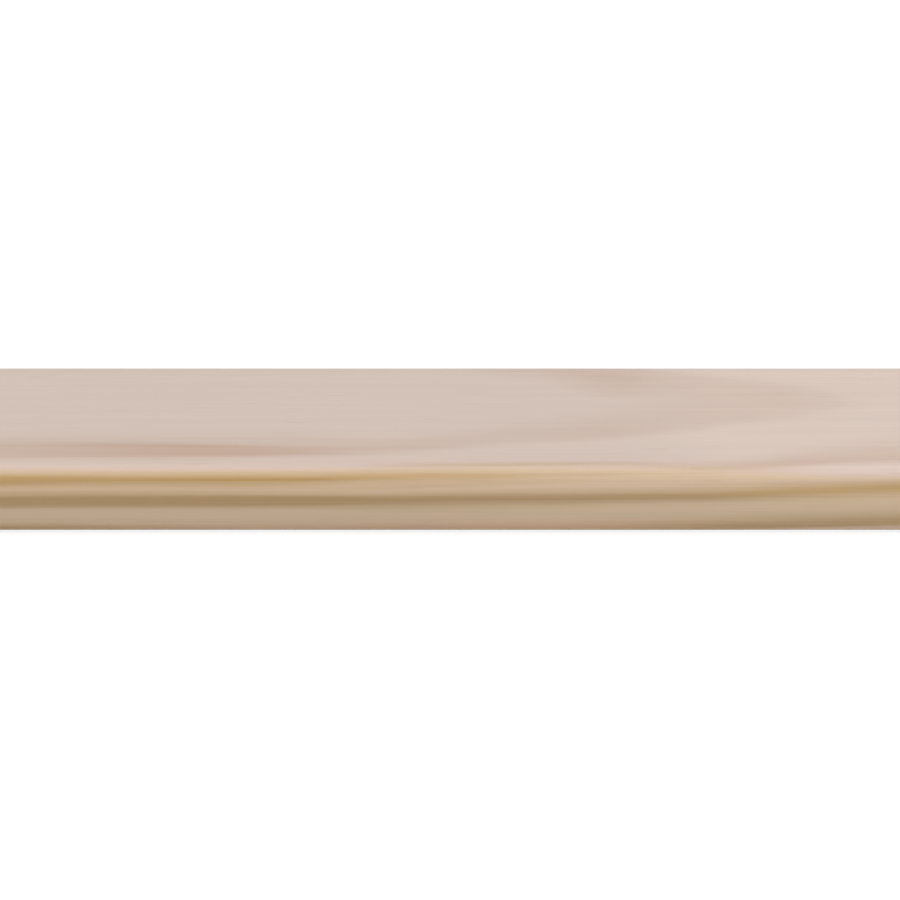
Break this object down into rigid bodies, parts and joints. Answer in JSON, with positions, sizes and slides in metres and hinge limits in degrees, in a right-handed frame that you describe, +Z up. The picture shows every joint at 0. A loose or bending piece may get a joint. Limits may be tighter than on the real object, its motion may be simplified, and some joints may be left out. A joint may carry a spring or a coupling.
{
  "type": "rounded timber batten",
  "caption": "Straight planed pine batten of flat rectangular section with all its long edges rounded and its ends cut square, for cover strips, trim and light framing.",
  "frame": {"origin": "middle of the underside, the broad face that the batten lies on", "axes": "+X along the grain, +Y across the broad faces towards the back edge, +Z up through the thickness"},
  "size_m": [0.9, 0.045, 0.015],
  "materials": {
    "planed_pine": "planed and unfinished, satin, pale pinkish cream with light brown growth rings"
  },
  "bodies": {
    "root": {"batten": "planed_pine"}
  },
  "joints": []
}
